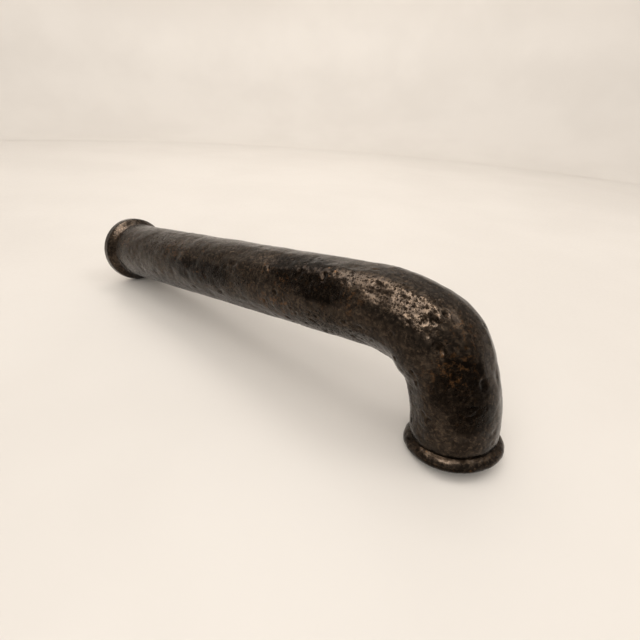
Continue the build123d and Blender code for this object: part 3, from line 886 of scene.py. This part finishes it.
def woven_disc(name, height, turn):
    """Round wire cloth with a flat rim: wires both ways, each passing over and under the others."""
    wire, pitch, reach, sides = WIRE_RADIUS, WIRE_PITCH, WIRE_REACH, WIRE_SIDES
    inner, outer, thick = CLOTH_RIM
    vertices, faces = [], []
    places = np.arange(-reach, reach + 0.01, pitch) + 0.05
    for way in (0, 1):
        for number, across in enumerate(places):
            half = np.sqrt(max(reach ** 2 - across ** 2, 0.3))
            run = spaced(-half, half, pitch / 4)
            lift = WIRE_WAVE * np.cos(pi * (run - 0.05) / pitch) * (-1) ** (number + way)
            start = len(vertices)
            for along, rise in zip(run, lift):
                for corner in np.arange(sides) * 2 * pi / sides:
                    side = across + wire * cos(corner)
                    flat = (along, side) if way == 0 else (side, along)
                    x = flat[0] * cos(turn) - flat[1] * sin(turn)
                    y = flat[0] * sin(turn) + flat[1] * cos(turn)
                    z = height + thick / 2 + rise + wire * sin(corner)
                    vertices.append((OUTLET_X + x, y, OUTLET_Z + z))
            for ring in range(len(run) - 1):
                first, second = start + ring * sides, start + (ring + 1) * sides
                faces += [(first + i, first + (i + 1) % sides, second + (i + 1) % sides, second + i)
                          for i in range(sides)]
    rim = softened(((height, inner, 0.05), (height, outer, 0.06), (height + thick, outer, 0.06),
                    (height + thick, inner, 0.05)), 0.3)
    around = CLOTH_RIM_AROUND
    start = len(vertices)
    for row in rim:
        vertices += [(OUTLET_X + row[1] * cos(a), row[1] * sin(a), OUTLET_Z + row[0])
                     for a in np.arange(around) * 2 * pi / around]
    for ring in range(len(rim)):
        first, second = start + ring * around, start + (ring + 1) % len(rim) * around
        faces += [(first + i, first + (i + 1) % around, second + (i + 1) % around, second + i)
                  for i in range(around)]
    return mesh_object(name, np.array(vertices) * MM, faces)


fit_piece(woven_disc("wire_cloth_lower", 8.1, 0.0), "mesh_disc_lower", "aerator_insert", STEEL)
fit_piece(woven_disc("wire_cloth_upper", 8.85, 0.6), "mesh_disc_upper", "aerator_insert", STEEL)

# CAD nodes that keep their CAD shape: material, and rounding of their edges in mm
FINISHES = {
    "adapter_o_ring_front": (RUBBER, 0), "adapter_o_ring_rear": (RUBBER, 0), "wall_gasket": (FOAM, 0.22),
    "set_screw_pad": (NYLON, 0.12), "aerator_cage": (ACETAL, 0.08), "outlet_grid": (ACETAL, 0.04),
    "mesh_spacer": (ACETAL, 0.06), "jet_plate": (ACETAL, 0.05), "dome_strainer": (ACETAL, 0.04),
    "aerator_washer": (RUBBER, 0.12),
}
for name, (material, rounding) in FINISHES.items():
    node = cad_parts[name]
    dress(node, material)
    if rounding:
        weld = node.modifiers.new("weld", "WELD")
        weld.merge_threshold = 0.002 * MM
        bevel = node.modifiers.new("soft edges", "BEVEL")
        bevel.width = rounding * MM
        bevel.segments = 2
        bevel.angle_limit = radians(42)
        bevel.limit_method = "ANGLE"


# ---------------------------------------------------------------- floor, light and camera

def floor_tilt(casting):
    """Tilt of the plane that the two beads rest on, and its height along its own normal, in metres."""
    co = np.array([v.co for v in casting.data.vertices])
    wall_end, outlet_end = co[co[:, 0] < 0.02], co[co[:, 2] < -0.04]
    low, high = 0.0, radians(30)
    for _ in range(40):
        tilt = (low + high) / 2
        normal = np.array([sin(tilt), 0, cos(tilt)])
        if (wall_end @ normal).min() > (outlet_end @ normal).min():
            low = tilt
        else:
            high = tilt
    return tilt, float((wall_end @ normal).min())


TILT, FLOOR = floor_tilt(casting)
FLOOR_AXES = Matrix.Rotation(TILT, 3, "Y")
STAGE_CENTRE = Vector((0.13, 0, 0))


def on_stage(x, y, z):
    """A place in the studio's own axes, whose floor is level, as a place in the row frame."""
    up = FLOOR_AXES @ Vector((0, 0, 1))
    middle = STAGE_CENTRE + up * (FLOOR - STAGE_CENTRE.dot(up))
    return middle + FLOOR_AXES @ Vector((x, y, z))


def build_floor():
    """Wide flat floor with a curved backdrop behind the part, in one sweep of a profile."""
    around, wall_from, wall_to = 120, radians(40), radians(226)
    radii = [0.08, 0.2, 0.4, 0.7, 1.0, 1.5, 2.4, 4.0]
    vertices = [(0, 0, 0)]
    vertices += [(radius * cos(angle), radius * sin(angle), 0)
                 for radius in radii for angle in np.linspace(0, 2 * pi, around, endpoint=False)]
    faces = [(0, 1 + i, 1 + (i + 1) % around) for i in range(around)]
    for ring in range(len(radii) - 1):
        first, second = 1 + ring * around, 1 + (ring + 1) * around
        faces += [(first + i, second + i, second + (i + 1) % around, first + (i + 1) % around)
                  for i in range(around)]
    flat_radius, sweep, wall = 1.0, 0.35, 1.2
    profile = [(flat_radius + sweep * sin(a), sweep * (1 - cos(a))) for a in np.linspace(0, pi / 2, 13)]
    profile += [(flat_radius + sweep, sweep + wall)]
    columns = 80
    start = len(vertices)
    for radius, height in profile:
        vertices += [(radius * cos(angle), radius * sin(angle), height + 0.0002)
                     for angle in np.linspace(wall_from, wall_to, columns)]
    for ring in range(len(profile) - 1):
        first, second = start + ring * columns, start + (ring + 1) * columns
        faces += [(first + i, second + i, second + i + 1, first + i + 1) for i in range(columns - 1)]
    return mesh_object("studio_floor", [on_stage(*v) for v in vertices], faces)


def paper_material():
    s = Shader("pale_floor")
    cloud, grain = s.noise(180, 3), s.noise(2.5, 3)
    colour = s.mix(s.fit(cloud, 0.35, 0.65), (0.70, 0.665, 0.625), (0.73, 0.695, 0.655))
    s.bump(s.math("MULTIPLY", grain, 0.01))
    s.set(Base_Color=colour, Roughness=s.fit(grain, 0.3, 0.7, 0.32, 0.42), Specular_IOR_Level=0.35)
    return s.material


studio_floor = build_floor()
dress(studio_floor, paper_material())
shade(studio_floor, 60)


def area_light(name, place, aim, size, power, colour):
    light = bpy.data.lights.new(name, "AREA")
    light.shape = "DISK"
    light.size = size
    light.energy = power
    light.color = colour
    lamp = bpy.data.objects.new(name, light)
    bpy.context.scene.collection.objects.link(lamp)
    lamp.location = place
    lamp.rotation_euler = (Vector(place) - Vector(aim)).to_track_quat("Z", "Y").to_euler()
    return lamp


KNUCKLE = Vector((0.225, 0, 0))


def lamp_at(name, direction, distance, size, power, colour):
    """A round soft light in this direction from the knuckle."""
    return area_light(name, KNUCKLE + Vector(direction).normalized() * distance, KNUCKLE, size, power, colour)


lamp_at("soft_key", (0.05, -0.25, 0.95), 1.00, 0.80, 2.2, (1.0, 0.96, 0.91))
lamp_at("side", (0.50, 0.34, 0.79), 1.00, 0.45, 1.8, (1.0, 0.96, 0.91))


def light_only(lamp, piece):
    """Keep this lamp's light to one piece."""
    receivers = bpy.data.collections.new(lamp.name + "_receivers")
    receivers.objects.link(piece)
    lamp.light_linking.receiver_collection = receivers


# a low fill from the front that lifts the floor's shadows, and two lamps for the glints on the casting's top
light_only(lamp_at("floor_fill", (0.25, -0.80, 0.58), 1.80, 1.40, 12.5, (1.0, 0.965, 0.92)), studio_floor)
GLINTS = (("glint", (0.02, -0.36, 0.93), 5.2), ("glint_left", (-0.46, -0.12, 0.88), 2.8))
for name, direction, power in GLINTS:
    light_only(lamp_at(name, direction, 0.75, 0.42, power, (1.0, 0.955, 0.91)), casting)
area_light("back_wash", (-0.15, 0.35, 0.85), (-0.70, 1.05, 0.15), 0.60, 3.0, (1.0, 0.95, 0.89))


def bright_ceiling():
    """World light that is strongest overhead and dim towards the horizon."""
    world = bpy.data.worlds.new("studio")
    world.use_nodes = True
    tree = world.node_tree
    place = add_node(tree, "ShaderNodeTexCoord").outputs["Generated"]
    overhead = FLOOR_AXES @ Vector((0, 0, 1))
    rise = add_node(tree, "ShaderNodeVectorMath", {0: place, 1: overhead}, operation="DOT_PRODUCT")
    glow = add_node(tree, "ShaderNodeMapRange", {
        "Value": rise.outputs["Value"], "From Min": 0.40, "From Max": 0.95, "To Min": 0.50, "To Max": 0.97},
        interpolation_type="SMOOTHSTEP")
    background = tree.nodes["Background"]
    background.inputs["Color"].default_value = (1.0, 0.955, 0.90, 1)
    tree.links.new(glow.outputs["Result"], background.inputs["Strength"])
    return world


bpy.context.scene.world = bright_ceiling()
bpy.context.scene.view_settings.view_transform = "Standard"

CAMERA_PLACE = Vector((0.2981, -0.1399, 0.0609))
CAMERA_AIM = Vector((0.14125, 0.03188, -0.0307))
CAMERA_UP = Vector((-0.2146, 0.2997, 0.9296))
camera_data = bpy.data.cameras.new("camera")
camera_data.lens = 25
camera_data.clip_start = 0.01
camera = bpy.data.objects.new("camera", camera_data)
bpy.context.scene.collection.objects.link(camera)
looking = (CAMERA_AIM - CAMERA_PLACE).normalized()
right = looking.cross(CAMERA_UP).normalized()
up = right.cross(looking)
camera.matrix_world = Matrix.Translation(CAMERA_PLACE) @ Matrix((right, up, -looking)).transposed().to_4x4()
bpy.context.scene.camera = camera
